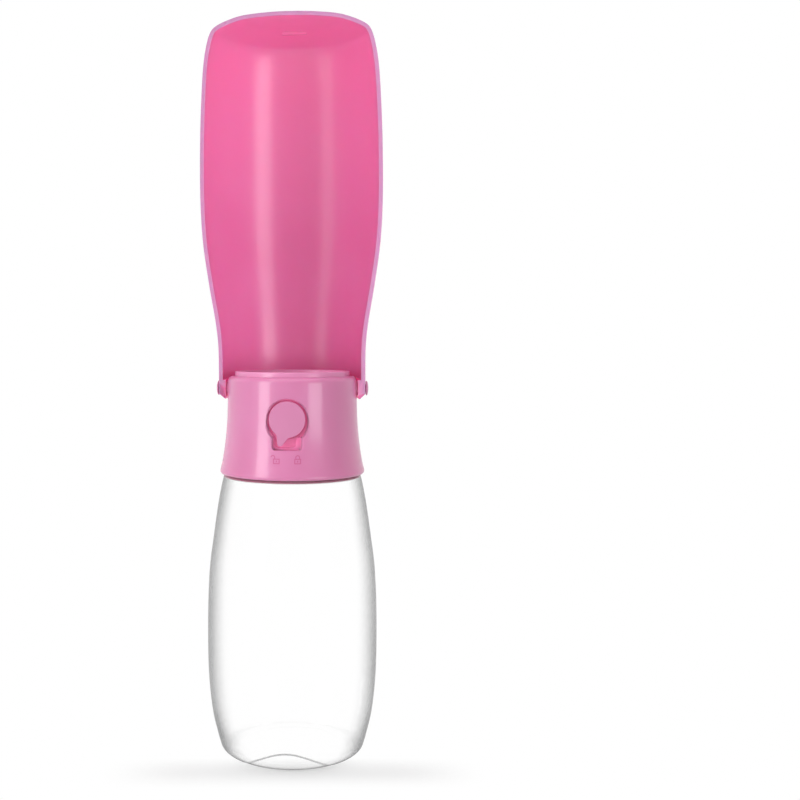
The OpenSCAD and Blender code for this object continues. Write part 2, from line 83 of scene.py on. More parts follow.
TROUGH_LOW, TROUGH_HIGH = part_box("trough")

# Outlines: each pair is a share of the length and a share of the swell between the two end radii.
BODY_OUTLINE = [(0, 0.06), (0.004, 0.24), (0.01, 0.37), (0.02, 0.46), (0.04, 0.53), (0.062, 0.60),
                (0.137, 0.80), (0.24, 0.94), (0.355, 1)]
UPPER_OUTLINE = [(0.525, 1), (0.664, 0.89), (0.772, 0.66), (0.884, 0.39), (0.953, 0.18), (1, 0)]
CAP_OUTLINE = [(0.03, 1), (0.125, 0.72), (0.33, 0.34), (0.54, 0.12), (0.75, 0.04)]
TROUGH_OUTLINE = [(-0.06, 0), (0.05, 0), (0.12, 0.03), (0.185, 0.19), (0.285, 0.55), (0.395, 0.87), (0.51, 1),
                  (0.65, 0.99), (0.77, 0.90), (0.86, 0.77), (0.917, 0.57), (0.951, 0.32)]
TROUGH_END = [(0.967, 0.80), (0.982, 0.66), (0.992, 0.51), (0.998, 0.28), (1, 0.12)]


# ---- Properties ----


def length(description, default):
    return FloatProperty(description=description, default=default, unit="LENGTH", precision=5)


def tilt(description, degrees):
    return FloatProperty(description=description, default=math.radians(degrees), subtype="ANGLE")


def number(description, default):
    return FloatProperty(description=description, default=default)


def colour(description, default):
    return FloatVectorProperty(description=description, default=default, size=3, min=0, max=1, subtype="COLOR")


class BottleSizes(bpy.types.PropertyGroup):
    """Sizes of the clear bottle."""

    segments: IntProperty(description="Number of segments round the bottle", default=320)
    radius: length("Radius of the bottle at its widest", BOTTLE_HIGH.x)
    body_height: length("Height of the body up to the shoulder's edge", CAP_LOW.z - 1.1 * MM)
    wall: length("Thickness of the bottle's wall", 1.5 * MM)
    foot_radius: length("Outer radius of the ring that the bottle stands on", 28.5 * MM)
    foot_width: length("Width of that ring", 3.5 * MM)
    punt: length("Height of the dome in the base", 3 * MM)
    shoulder_radius: length("Radius of the body's upper edge", 32.6 * MM)
    neck_radius: length("Outer radius of the neck", 20 * MM)
    neck_wall: length("Thickness of the neck's wall", 1.8 * MM)
    relief_width: length("Half width of the arched relief in the front of the heel", 27 * MM)
    relief_height: length("Height of that arched relief", 9.2 * MM)
    relief_depth: length("How deep that arched relief is pressed in", 0.5 * MM)
    lug_up: length("Height of the thread's lugs above the body", 9.5 * MM)
    lug_rise: length("Rise of a lug in a full turn", 4.8 * MM)
    lug_tall: length("Height of a lug", 1.6 * MM)
    lug_out: length("How far a lug stands out", 1.2 * MM)


class CapSizes(bpy.types.PropertyGroup):
    """Sizes of the cap, its spout plate and its button."""

    radius: length("Radius of the cap at its top", 30.7 * MM)
    flare_radius: length("Radius of the flared lower edge", CAP_HIGH.x)
    wall: length("Thickness of the cap's wall", 2 * MM)
    rounding: length("Radius of the rounded top edge", 2.4 * MM)
    spout_radius: length("Radius of the raised spout plate", SPOUT_HIGH.x)
    outlet_radius: length("Radius of the outlet hole", 4.5 * MM)
    button_radius: length("Radius of the button", BUTTON_HIGH.x)
    recess_radius: length("Radius of the recess round the button", 10.2 * MM)
    recess_drop: length("How far the recess's centre lies below the button's axis", 0.9 * MM)
    button_reach: length("Reach of the button's pointer from its axis", 12.5 * MM)
    recess_floor: length("Place of the recess's floor, along Y", -26.2 * MM)
    pocket_floor: length("Place of the pocket's floor under the button, along Y", -27.5 * MM)
    pocket_width: length("Half width of the pocket that the pointer swings in", 6.9 * MM)
    pocket_low: length("How far the pocket reaches below the button's axis", 13.9 * MM)
    ledge_width: length("Width of the shallower ledge at the pocket's right side", 2 * MM)
    seat_radius: length("Radius of the hinge pins' seats", 3.65 * MM)
    seat_face: length("Place of their faces, from the cap's middle", 31.4 * MM)
    eye_place: length("Distance of the lanyard eye behind the axis", 32.9 * MM)
    eye_drop: length("Depth of the lanyard eye below the hinge axis", 10.8 * MM)
    swing: tilt("Lean of the pointer to its open place", 16)


class TroughSizes(bpy.types.PropertyGroup):
    """Sizes of the folding trough."""

    wall: length("Thickness of the trough's wall", 1.8 * MM)
    hinge_radius: length("Outer radius of the trough at its hinge", 35 * MM)
    belly_radius: length("Outer radius of the trough at its widest", 43.2 * MM)
    band_radius: length("Inner radius of the thick band round the cap", 31.7 * MM)
    band_top: length("Height of that band above the hinge axis", 4.1 * MM)
    reach: length("Length from the hinge axis to the end", HINGE_Z + 5.8 * MM)
    rim_past: length("How far the rim reaches past the middle plane", 4.2 * MM)
    tail: length("Length below the hinge axis", 5.1 * MM)
    chamfer: length("Chamfer round the outside of the tail", 2.6 * MM)
    corner: length("Radius of the rim's lower corner", 3 * MM)
    rib_width: length("Width of the short rib in the end wall", 12 * MM)
    rib_thick: length("Thickness of that rib", 1.5 * MM)
    rib_place: length("Distance of that rib from the trough's middle line", 22.4 * MM)
    rib_gap: length("Gap between the folded trough's rib and the bottle's foot", 1.3 * MM)
    lean: tilt("Lean of the open trough towards the front", 3)


class Colours(bpy.types.PropertyGroup):
    """Colours of the finishes."""

    cap: colour("Opaque pink of the cap", (0.575, 0.19, 0.362))
    cap_deep: colour("Deeper pink that the cap drifts to", (0.54, 0.164, 0.315))
    button: colour("Pink of the button", (0.54, 0.190, 0.345))
    spout: colour("Pink of the raised spout plate", (0.76, 0.30, 0.50))
    glow: colour("Light that soaks through the walls round the button", (0.17, 0.025, 0.075))
    gap: colour("Light that soaks into the trough's gap round the cap", (0.30, 0.01, 0.06))
    trough: colour("Pink of the trough", (0.86, 0.225, 0.485))
    trough_deep: colour("Deeper pink that the trough drifts to", (0.83, 0.19, 0.44))
    # Painted light: the trough turns this brighter pink towards its end, where it is better lit.
    trough_end_light: colour("Brighter pink towards the trough's end", (0.99, 0.235, 0.50))
    # Painted highlight: this lighter pink along the rim stands in for the light that the edge catches.
    rim: colour("Lighter pink along the trough's edge", (0.66, 0.31, 0.54))
    mark: colour("Pink of the cut lock marks", (0.50, 0.10, 0.24))
    # Painted light: this deeper pink in the recess stands in for light that soaks through the wall and bounces
    # there.
    recess: colour("Deeper pink inside the cap's recess", (0.80, 0.20, 0.40))
    # Painted shade: this grey stands in for the dark edges that the clear wall shows where it is seen edge on.
    smoke: colour("Grey of the clear wall where it is seen edge on", (0.06, 0.06, 0.063))
    # Painted shadow, tinted with the cap's pink, along the bottle's upper edge under the cap.
    caught: colour("Pink that the bottle's upper edge catches from the cap", (0.35, 0.09, 0.16))
    white: colour("Off-white of the inner plastic pieces", (0.80, 0.80, 0.77))
    rubber: colour("Pale grey of the seals", (0.55, 0.55, 0.53))
    steel: colour("Colour of the steel pieces", (0.62, 0.62, 0.64))


class StageSettings(bpy.types.PropertyGroup):
    """The floor, the lights and the camera."""

    lens: number("Focal length on a 36 mm wide sensor, in millimetres", 47.25)
    distance: length("Distance from the bottle's axis to the camera", 0.5024)
    height: length("Height of the camera", 0.1918)
    azimuth: tilt("Angle of the camera round the bottle", 4.4)
    shadow_front: length("Distance of the floor's shadow line in front of the axis", 0.0325)
    shadow_depth: length("Half depth of that line, front to back", 0.018)
    shadow_full: length("Half width of that line where it is full", 0.045)
    shadow_reach: length("Half width of that line where it ends", 0.088)
    plain_white: number("Share of plain white in the shadow line", 0.3)
    shift_x: number("Sideways shift of the picture", 0.1346)
    shift_y: number("Upward shift of the picture", -0.07)


# ---- Shader tools ----


class Value:
    """A socket of a node tree, with the arithmetic that builds Math nodes from an expression."""

    def __init__(self, shader, socket):
        self.shader = shader
        self.socket = socket

    def _math(self, operation, first, second):
        return self.shader.node("ShaderNodeMath", {"operation": operation}, {0: first, 1: second})

    def __add__(self, other):
        return self._math("ADD", self, other)

    def __sub__(self, other):
        return self._math("SUBTRACT", self, other)

    def __rsub__(self, other):
        return self._math("SUBTRACT", other, self)

    def __mul__(self, other):
        return self._math("MULTIPLY", self, other)

    def __rmul__(self, other):
        return self._math("MULTIPLY", other, self)

    def larger(self, other):
        return self._math("MAXIMUM", self, other)


class Shader:
    """A material or a world under construction."""

    def __init__(self, name, kind="materials"):
        self.owner = getattr(bpy.data, kind).new(name)
        self.owner.use_nodes = True
        self.tree = self.owner.node_tree
        self.tree.nodes.clear()

    def node(self, kind, settings, inputs, output=0):
        """Adds a node, whose inputs are sockets or constants, and returns one of its outputs."""
        made = self.tree.nodes.new(kind)
        for name, setting in settings.items():
            setattr(made, name, setting)
        for name, given in inputs.items():
            if isinstance(given, Value):
                self.tree.links.new(given.socket, made.inputs[name])
            else:
                made.inputs[name].default_value = given
        return Value(self, made.outputs[output])

    def place(self, space="Object"):
        """The surface's place in metres, or in a world the direction, as a vector."""
        return self.node("ShaderNodeTexCoord", {}, {}, space)

    def axis(self, letter, space="Object"):
        """One coordinate of that vector."""
        return self.node("ShaderNodeSeparateXYZ", {}, {0: self.place(space)}, letter)

    def ray(self, kind):
        """1 for rays of one kind, else 0."""
        return self.node("ShaderNodeLightPath", {}, {}, kind)

    def noise(self, scale, detail, stretch=(1, 1, 1)):
        """Smooth noise from 0 to 1; scale is in lumps per metre."""
        place = self.node("ShaderNodeVectorMath", {"operation": "MULTIPLY"}, {0: self.place(), 1: stretch})
        return self.node("ShaderNodeTexNoise", {}, {"Vector": place, "Scale": scale, "Detail": detail})

    def spread(self, value, low, high, to_low=0.0, to_high=1.0):
        """Maps low..high to to_low..to_high with soft ends."""
        return self.node(
            "ShaderNodeMapRange", {"interpolation_type": "SMOOTHSTEP"},
            {"Value": value, "From Min": low, "From Max": high, "To Min": to_low, "To Max": to_high},
        )

    def size_of(self, value):
        """The value without its sign."""
        return self.node("ShaderNodeMath", {"operation": "ABSOLUTE"}, {0: value})

    def painted(self, name):
        """A number that the mesh carries at each point."""
        return self.node("ShaderNodeAttribute", {"attribute_name": name}, {}, 2)

    def mix(self, factor, first, second):
        """A colour between two others."""
        inputs = {0: factor, 6: opaque(first), 7: opaque(second)}
        return self.node("ShaderNodeMix", {"data_type": "RGBA"}, inputs, 2)

    def bumped(self, height, depth, edge=0.0):
        """A surface normal with fine relief of the given depth, and softened edges of the given radius."""
        inputs = {"Height": height, "Strength": 1.0, "Distance": depth}
        if edge:
            inputs["Normal"] = self.node("ShaderNodeBevel", {"samples": 4}, {"Radius": edge})
        return self.node("ShaderNodeBump", {}, inputs)

    def principled(self, inputs):
        return self.node("ShaderNodeBsdfPrincipled", {}, inputs)

    def mixed(self, factor, first, second):
        """A surface between two others."""
        return self.node("ShaderNodeMixShader", {}, {0: factor, 1: first, 2: second})

    def finished(self, surface, output="ShaderNodeOutputMaterial"):
        end = self.tree.nodes.new(output)
        self.tree.links.new(surface.socket, end.inputs["Surface"])
        return self.owner


def opaque(value):
    """A colour as four numbers, or a socket as it is."""
    if isinstance(value, Value):
        return value
    return (*tuple(value)[:3], 1.0)


def darker(tint, share):
    return [part * share for part in tint]


def moulded_surface(made, tone, inputs, peel_scale, rough, relief, edge=0.0, glow=None):
    """A fine orange-peel skin with softened edges; glow is the light that soaks through painted walls."""
    grain = made.noise(2600, 4)
    peel = made.noise(peel_scale, 2)
    if glow:
        inputs["Emission Color"] = made.mix(made.painted("inside"), BLACK, glow)
        inputs["Emission Strength"] = 1.0
    return made.finished(made.principled(inputs | {
        "Base Color": tone,
        "Roughness": made.spread(peel + grain * 0.35, 0.45, 0.95, *rough),
        "IOR": 1.49,
        "Subsurface Scale": 1.0,
        "Normal": made.bumped(peel * 0.8 + grain * 0.2, relief, edge),
    }))


def moulded_plastic(name, light, deep, roughness, coat=0.0, edge=0.0, milky=0.0, inside=None, glow=None):
    """Moulded plastic with a slow drift of colour.

    The inside is a painted tint for the parts that the mesh paints as "inside", standing in for light that
    soaks through and bounces there, and the glow is painted light that soaks through the walls there.
    """
    made = Shader(name)
    tone = made.mix(made.spread(made.noise(18, 2), 0.3, 0.7), light, deep)
    # Painted light: a deeper tint where the mesh marks the recess, for light that soaks through and bounces
    # there.
    if inside:
        tone = made.mix(made.painted("inside"), tone, inside)
    inputs = {
        "Specular IOR Level": 0.3,
        "Coat Weight": coat,
        "Coat Roughness": 0.14,
        "Subsurface Weight": milky,
        "Subsurface Radius": (0.006, 0.002, 0.003),
    }
    rough = (roughness * 0.9, roughness * 1.12)
    return moulded_surface(made, tone, inputs, 420, rough, relief=0.012 * MM, edge=edge, glow=glow)


def trough_plastic(sizes, colours):
    """Glossy, slightly milky plastic, with painted light that brightens it towards the end and a painted
    highlight along its thin rim.
    """
    made = Shader("trough_plastic")
    # Painted light: from this height the pink brightens towards the trough's end.
    painted_light_from = 0.22
    tone = made.mix(made.spread(made.noise(14, 2), 0.3, 0.7), colours.trough, colours.trough_deep)
    tone = made.mix(made.spread(made.axis("Z"), painted_light_from, TROUGH_HIGH.z), tone, colours.trough_end_light)
    # The rim plane leans with the trough, so the distance to it mixes two coordinates.
    ahead = made.axis("Y") * math.cos(sizes.lean) + (made.axis("Z") - HINGE_Z) * math.sin(sizes.lean)
    # Painted highlight: a lighter pink along the rim.
    rim_highlight = 1 - made.spread(ahead, -sizes.rim_past + 0.25 * MM, -sizes.rim_past + 0.9 * MM)
    tone = made.mix(rim_highlight, tone, colours.rim)
    inputs = {
        "Specular IOR Level": 0.1,
        "Coat Weight": 0.95,
        "Coat Roughness": 0.25,
        "Subsurface Weight": 0.35,
        "Subsurface Radius": (0.007, 0.0016, 0.0034),
    }
    return moulded_surface(made, tone, inputs, 300, (0.38, 0.46), relief=0.015 * MM, glow=colours.gap)


def clear_plastic(colours):
    """Clear plastic: see-through face on, with painted grey shade where the outer wall is seen edge on, and a
    light gloss.

    The mesh marks painted edge shade, a painted shade line along the relief and a painted pink shadow at the
    upper edge.
    """
    made = Shader("clear_plastic")
    facing = made.node("ShaderNodeLayerWeight", {}, {"Blend": 0.5}, 1)
    ripple = made.noise(60, 2, (1, 1, 0.35))
    # Painted shade: grey where the outer wall is seen edge on and the mesh marks it, a painted shade line along
    # the relief, and a painted pink shadow at the upper edge.
    smoke = made.spread(facing, 0.36, 1.0, 0.0, 0.66) * made.painted("smoke")
    smoke = smoke * made.spread(ripple, 0.2, 0.8, 0.9, 1.1)
    caught = made.painted("caught")
    cover = smoke.larger(made.painted("crease") * 0.6).larger(caught * 0.8)
    clear = made.node("ShaderNodeBsdfTransparent", {}, {"Color": WHITE})
    edge = made.principled({
        "Base Color": made.mix(caught, colours.smoke, colours.caught),
        "Roughness": 0.3,
        "IOR": 1.3,
        "Normal": made.bumped(ripple, 0.02 * MM),
    })
    gloss = made.node("ShaderNodeBsdfGlossy", {}, {"Color": WHITE, "Roughness": 0.06})
    fresnel = made.node("ShaderNodeFresnel", {}, {"IOR": 1.18})
    return made.finished(made.mixed(fresnel * 0.25, made.mixed(cover, clear, edge), gloss))


def soft_rubber(name, tint):
    """Silicone rubber: matte, with a dusty bloom and a fine grain."""
    made = Shader(name)
    bloom = made.noise(160, 3)
    grain = made.noise(3200, 4)
    return made.finished(made.principled({
        "Base Color": made.mix(made.spread(bloom, 0.3, 0.7), tint, darker(tint, 0.86)),
        "Roughness": made.spread(grain, 0.3, 0.7, 0.62, 0.8),
        "Sheen Weight": 0.1,
        "Normal": made.bumped(grain, 0.02 * MM),
    }))


def turned_steel(name, tint):
    """Turned stainless steel: fine lines round the axis of turning, which lies along Y."""
    made = Shader(name)
    lines = made.noise(900, 5, (0.15, 4, 0.15))
    return made.finished(made.principled({
        "Base Color": made.mix(made.spread(lines, 0.3, 0.7), tint, darker(tint, 0.8)),
        "Metallic": 1.0,
        "Roughness": made.spread(lines, 0.3, 0.7, 0.22, 0.4),
        "Normal": made.bumped(lines, 0.01 * MM),
    }))


# ---- Mesh tools ----


def curve_point(a, b, c, d, t):
    """A point between b and c on the smooth curve through four numbers."""
    return 0.5 * (
        2 * b + (c - a) * t + (2 * a - 5 * b + 4 * c - d) * t * t + (3 * b - a - 3 * c + d) * t ** 3
    )


def smooth(points, steps):
    """A smooth curve through (radius, height) points, with a number of steps between two of them."""
    last = len(points) - 1
    path = []
    for i in range(last):
        near = [points[max(i - 1, 0)], points[i], points[i + 1], points[min(i + 2, last)]]
        for s in range(steps):
            path.append(tuple(curve_point(*[p[k] for p in near], s / steps) for k in range(2)))
    return path + [tuple(points[last])]


def inset(path, wall):
    """The same path moved towards the axis by the wall's thickness."""
    last = len(path) - 1
    moved = []
    for i, (radius, height) in enumerate(path):
        before = path[max(i - 1, 0)]
        after = path[min(i + 1, last)]
        along = Vector((after[0] - before[0], after[1] - before[1])).normalized()
        moved.append((max(radius - wall * along.y, 0.0), height + wall * along.x))
    return moved


def arc(centre, radius, start, end, steps):
    """Points on an arc in (radius, height), from one angle to another in degrees."""
    angles = [math.radians(start + (end - start) * i / steps) for i in range(steps + 1)]
    return [(centre[0] + radius * math.cos(a), centre[1] + radius * math.sin(a)) for a in angles]


def new_piece(name, bm, sharp=35):
    """Turns a bmesh into an object with smooth faces and sharp edges past an angle."""
    bmesh.ops.recalc_face_normals(bm, faces=bm.faces)
    mesh = bpy.data.meshes.new(name)
    bm.to_mesh(mesh)
    bm.free()
    shade_smooth(mesh, sharp)
    piece = bpy.data.objects.new(name, mesh)
    bpy.context.scene.collection.objects.link(piece)
    return piece


def shade_smooth(mesh, sharp=35):
    mesh.polygons.foreach_set("use_smooth", [True] * len(mesh.polygons))
    mesh.set_sharp_from_angle(angle=math.radians(sharp))


def add_turned(bm, outline, segments=192, matrix=Matrix.Identity(4)):
    """Adds a closed outline of (radius, height) points turned about Z. A zero radius becomes one point."""
    rings = []
    for radius, height in outline:
        if radius < 1e-7:
            rings.append([bm.verts.new(matrix @ Vector((0, 0, height)))])
            continue
        ring = []
        for s in range(segments):
            turn = 2 * math.pi * s / segments
            point = Vector((radius * math.cos(turn), radius * math.sin(turn), height))
            ring.append(bm.verts.new(matrix @ point))
        rings.append(ring)
    for i, ring in enumerate(rings):
        nxt = rings[(i + 1) % len(rings)]
        if len(ring) == 1 and len(nxt) == 1:
            continue
        for s in range(segments):
            t = (s + 1) % segments
            corners = [ring[s % len(ring)], ring[t % len(ring)], nxt[t % len(nxt)], nxt[s % len(nxt)]]
            bm.faces.new(list(dict.fromkeys(corners)))


def turned(name, outline, segments=192, matrix=Matrix.Identity(4)):
    """A piece of its own from such an outline."""
    bm = bmesh.new()
    add_turned(bm, outline, segments, matrix)
    return new_piece(name, bm)


def add_tube(bm, rings):
    """Adds a skin over rings of points, closed at both ends."""
    bm.faces.new(rings[0])
    bm.faces.new(rings[-1])
    for first, second in zip(rings, rings[1:]):
        for i in range(len(first)):
            k = (i + 1) % len(first)
            bm.faces.new([first[i], first[k], second[k], second[i]])


def add_prism(bm, outline, low, high, matrix):
    """Adds a flat outline of (x, y) points with a depth along its own Z, then placed."""
    add_tube(bm, [[bm.verts.new(matrix @ Vector((x, y, z))) for x, y in outline] for z in (low, high)])


def extruded(name, outline, depth, matrix):
    """A piece of its own from such a prism."""
    bm = bmesh.new()
    add_prism(bm, outline, 0, depth, matrix)
    return new_piece(name, bm)


def rectangle(left, low, right, high):
    return [(left, low), (right, low), (right, high), (left, high)]


def apply_modifiers(piece):
    """Replaces the piece's mesh by what its modifiers make of it."""
    graph = bpy.context.evaluated_depsgraph_get()
    mesh = bpy.data.meshes.new_from_object(piece.evaluated_get(graph))
    piece.modifiers.clear()
    piece.data = mesh
    shade_smooth(mesh)


def combine(piece, tool, operation, overlaps=False):
    """Cuts the tool from the piece, joins it on or keeps what both share, and removes the tool.

    A tool whose own parts overlap takes a slower way.
    """
    step = piece.modifiers.new(operation.lower(), "BOOLEAN")
    step.object = tool
    step.operation = operation
    step.solver = "EXACT"
    step.use_self = overlaps
    apply_modifiers(piece)
    if not piece.data.polygons:
        raise RuntimeError(f"nothing is left of {piece.name} after {tool.name}")
    bpy.data.objects.remove(tool)


def soften(piece, width, steps=3, angle=40):
    """Rounds the piece's sharp edges."""
    bevel = piece.modifiers.new("soften", "BEVEL")
    bevel.width = width
    bevel.segments = steps
    bevel.limit_method = "ANGLE"
    bevel.angle_limit = math.radians(angle)
    apply_modifiers(piece)


def finish_piece(piece, material, body, slot, *nodes):
    """Gives a piece its finish and the body that it rides on, and hides the CAD nodes that it stands for."""
    piece.data.materials.clear()
    piece.data.materials.append(material)
    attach(piece, body)
    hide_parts(*nodes)
    return piece


def dress(nodes, material):
    """Gives CAD nodes a better material and keeps their shape."""
    for name in nodes:
        for place in frame["nodes"][name].material_slots:
            place.material = material


def to_front(x=0.0, y=0.0, z=BUTTON_Z):
    """Turns +Z onto -Y, from a point that is on the button's axis unless told otherwise."""
    return Matrix.Translation((x, y, z)) @ Matrix.Rotation(math.radians(90), 4, "X")


def to_side(side, y=0.0, z=HINGE_Z):
    """Turns +Z onto +X or -X, from a point that is on the hinge axis unless told otherwise."""
    return Matrix.Translation((0, y, z)) @ Matrix.Rotation(math.radians(side * 90), 4, "Y")


def soft_step(value, low, high):
    """0 below low, 1 above high and a smooth rise between."""
    share = min(max((value - low) / (high - low), 0.0), 1.0)
    return share * share * (3 - 2 * share)


def paint(mesh, name, number_at):
    """Stores a number at each point of the mesh, for its material to read."""
    numbers = [number_at(vertex.co, vertex.index) for vertex in mesh.vertices]
    mesh.attributes.new(name, "FLOAT", "POINT").data.foreach_set("value", numbers)


# ---- Bottle ----


def fine_heel(path, limit=12 * MM, step=0.25 * MM):
    """The same path with extra points in its lowest part."""
    fine = [path[0]]
    for low, high in zip(path, path[1:]):
        span = math.dist(low, high)
        parts = max(1, math.ceil(span / step)) if low[1] < limit else 1
        fine += [tuple(a + (b - a) * i / parts for a, b in zip(low, high)) for i in range(1, parts + 1)]
    return fine


def relief_edge(sizes, point):
    """Height of a point of the heel above the arched edge of the relief at the front."""
    across = min(abs(point.x) / sizes.relief_width, 1.0)
    return point.z - sizes.relief_height * 0.5 * (1 + math.cos(math.pi * across))


class MakeBottle(bpy.types.Operator):
    """Make the clear bottle with its neck, thread and pressed base"""

    bl_idname = "water_bottle.bottle"
    bl_label = "Bottle"

    def execute(self, context):
        sizes = context.scene.bottle_sizes
        swell = sizes.radius - sizes.foot_radius
        upper = sizes.radius - sizes.shoulder_radius
        points = [(sizes.foot_radius + k * swell, t * sizes.body_height) for t, k in BODY_OUTLINE]
        points += [(sizes.shoulder_radius + k * upper, t * sizes.body_height) for t, k in UPPER_OUTLINE]
        outer = smooth(points, 14)
        outline, first, last = self.outline(sizes, outer, inset(outer, sizes.wall))
        bm = bmesh.new()
        add_turned(bm, outline, sizes.segments)
        self.press_relief(bm, sizes)
        self.add_thread(bm, sizes)
        bottle = new_piece("clear_bottle", bm, 50)
        # The dome's middle is one point, and each later point of the outline is a ring.
        outside = range((first - 1) * sizes.segments + 1, last * sizes.segments + 1)
        self.paint_wall(bottle.data, sizes, outside)
        finish_piece(bottle, clear_plastic(context.scene.colours), "bottle", "clear_plastic", "bottle")
        return {"FINISHED"}

    @staticmethod
    def press_relief(bm, sizes):
        """Presses the arched relief into the front of the heel, fading out at the foot."""
        soft_edge, fade = 0.8 * MM, 1.5 * MM
        for vertex in bm.verts:
            if vertex.co.y < 0 and vertex.co.z < 2 * sizes.relief_height:
                depth = sizes.relief_depth * (1 - soft_step(relief_edge(sizes, vertex.co), -soft_edge, 0))
                inward = Vector((-vertex.co.x, -vertex.co.y, 0)).normalized()
                vertex.co += depth * min(vertex.co.z / fade, 1) * inward

    @staticmethod
    def paint_wall(mesh, sizes, outside):
        """Paints masks for painted edge shade, a painted shade line on the relief and a painted pink shadow at
        the body's upper edge.
        """
        edge = sizes.body_height

        def edge_shade_at(point, index):
            """Painted edge shade: weaker on the foot's ring, stronger at the heel's front and nearly none at
            its rear.
            """
            if index not in outside:
                return 0.0
            above_foot = soft_step(point.z, 0, 1 * MM)
            heel = 1 - soft_step(point.z, 5 * MM, 30 * MM)
            rear = soft_step(point.y, 0, 18 * MM)
            return (0.7 + 0.3 * above_foot) * (1 + heel * (0.5 - 1.35 * rear))

        # A painted shade line along the arched edge of the relief.
        def relief_shade_line_at(point, index):
            if index not in outside or point.y > 0:
                return 0.0
            near = soft_step(-abs(relief_edge(sizes, point)), -0.75 * MM, -0.1 * MM)
            return near * soft_step(point.z, 0.2 * MM, 5 * MM)

        # A painted pink-tinted shadow along the body's upper edge, under the cap's lower rim.
        def cap_shadow_tint_at(point, index):
            if math.hypot(point.x, point.y) < sizes.shoulder_radius - 5 * MM:
                return 0.0
            return soft_step(point.z, edge - 0.7 * MM, edge - 0.2 * MM)

        paint(mesh, "smoke", edge_shade_at)
        paint(mesh, "crease", relief_shade_line_at)
        paint(mesh, "caught", cap_shadow_tint_at)

    @staticmethod
    def outline(sizes, outer, inner):
        """The wall's outline, up the outside and down the inside, and where the outside starts and ends."""
        top = BOTTLE_HIGH.z
        edge = sizes.body_height
        neck, mouth = sizes.neck_radius, sizes.neck_radius - sizes.neck_wall
        low, bend, lip = 1.4 * MM, 4 * MM, 0.7 * MM
        punt_radius = sizes.foot_radius - sizes.foot_width
        dome = [(punt_radius * i / 12, sizes.punt * (1 - (i / 12) ** 2)) for i in range(13)]
        shoulder = smooth([(sizes.shoulder_radius, edge), (sizes.shoulder_radius - 2 * MM, edge + low),
                           (neck + bend, edge + 3 * MM), (neck, edge + 5 * MM)], 5)
        rim = arc((neck - lip, top - lip), lip, 0, 90, 4) + arc((mouth + lip, top - lip), lip, 90, 180, 4)
        inside = smooth([(mouth, edge + bend), (mouth + bend, edge + low),
                         (inner[-1][0] - 1 * MM, inner[-1][1] + 0.4 * MM)], 5)
        floor = [(radius, height + 1.95 * MM) for radius, height in dome]
        below, above = fine_heel(outer), fine_heel(inner)
        outline = dome + below + shoulder[1:] + rim + inside + above[::-1] + floor[::-1]
        return outline, len(dome), len(dome) + len(below)

    @staticmethod
    def add_thread(bm, sizes):
        """Three lugs that rise round the neck."""
        start = sizes.body_height + sizes.lug_up
        span, steps, root, tall = 52, 26, -0.4 * MM, sizes.lug_tall
        for lug in range(3):
            rows = []
            for i in range(steps + 1):
                turn = span * i / steps
                around = Matrix.Rotation(math.radians(270 + 120 * lug + turn), 4, "Z")
                proud = sizes.lug_out * min(1, 5 * min(i, steps - i) / steps + 0.15)
                height = start + sizes.lug_rise * turn / 360
                section = [(root, 0), (proud, 0.15 * tall), (proud, 0.85 * tall), (root, tall)]
                points = [Vector((sizes.neck_radius + out, 0, height + up)) for out, up in section]
                rows.append([bm.verts.new(around @ point) for point in points])
            add_tube(bm, rows)


# ---- Cap ----


def cap_paths(sizes):
    """The cap's outer path from its lower edge to the edge of its flat top, and the inner one."""
    low, high = CAP_LOW.z, CAP_HIGH.z
    swell = sizes.flare_radius - sizes.radius
    points = [(sizes.flare_radius - 0.5 * MM, low)]
    points += [(sizes.radius + k * swell, low + t * (high - low)) for t, k in CAP_OUTLINE]
    points.append((sizes.radius, high - sizes.rounding))
    outer = smooth(points, 10)
    outer += arc((sizes.radius - sizes.rounding, high - sizes.rounding), sizes.rounding, 8, 90, 10)
    return outer, inset(outer, sizes.wall)


def lock_bars(x, is_open):
    """A small padlock of thin bars that reach through the cap's front."""
    line, width, height, bow, neck = 0.42 * MM, 3 * MM, 2.4 * MM, 1.05 * MM, 0.55 * MM
    near, far = 25 * MM, 45 * MM
    at = to_front(x, 0, CAP_LOW.z + 7.4 * MM)
    lift = -1.6 * MM if is_open else 0
    bars = [
        (-width / 2, 0, width, line), (-width / 2, height - line, width, line),
        (-width / 2, 0, line, height), (width / 2 - line, 0, line, height),
        (-line / 2, 0.8 * MM, line, 0.8 * MM), (bow - line + lift, height, line, neck),
    ]
    if not is_open:
        bars.append((-bow, height, line, neck))
    bm = bmesh.new()
    for left, low, wide, tall in bars:
        add_prism(bm, rectangle(left, low, left + wide, low + tall), near, far, at)
    steps = 14
    centre = (lift, height + neck)
    for i in range(steps):
        start, end = 180 * i / steps, 180 * (i + 1) / steps
        add_prism(bm, arc(centre, bow, start, end, 1) + arc(centre, bow - line, end, start, 1), near, far, at)
    return new_piece("bars", bm)


def recess_outline(sizes, grow=0.0, right=0.0):
    """The recess seen from the front: a circle with a round-cornered pocket below it, as (x, z) points.

    The right side of the pocket can end short, to leave room for its ledge. Its upper corner is then just
    inside the circle.
    """
    radius = sizes.recess_radius + grow
    wide = sizes.pocket_width + grow
    drop = sizes.recess_drop
    low = -sizes.pocket_low - grow
    corner = 1.6 * MM
    meet = math.degrees(math.asin(wide / radius))
    outline = arc((0, -drop), radius, -90 + meet, 270 - meet, 72)
    outline += arc((-wide + corner, low + corner), corner, 180, 270, 6)
    outline += arc((wide - right - corner, low + corner), corner, 270, 360, 6)
    if right:
        outline.append((wide - right, -drop - 0.9 * radius * math.cos(math.asin((wide - right) / radius))))
    return outline


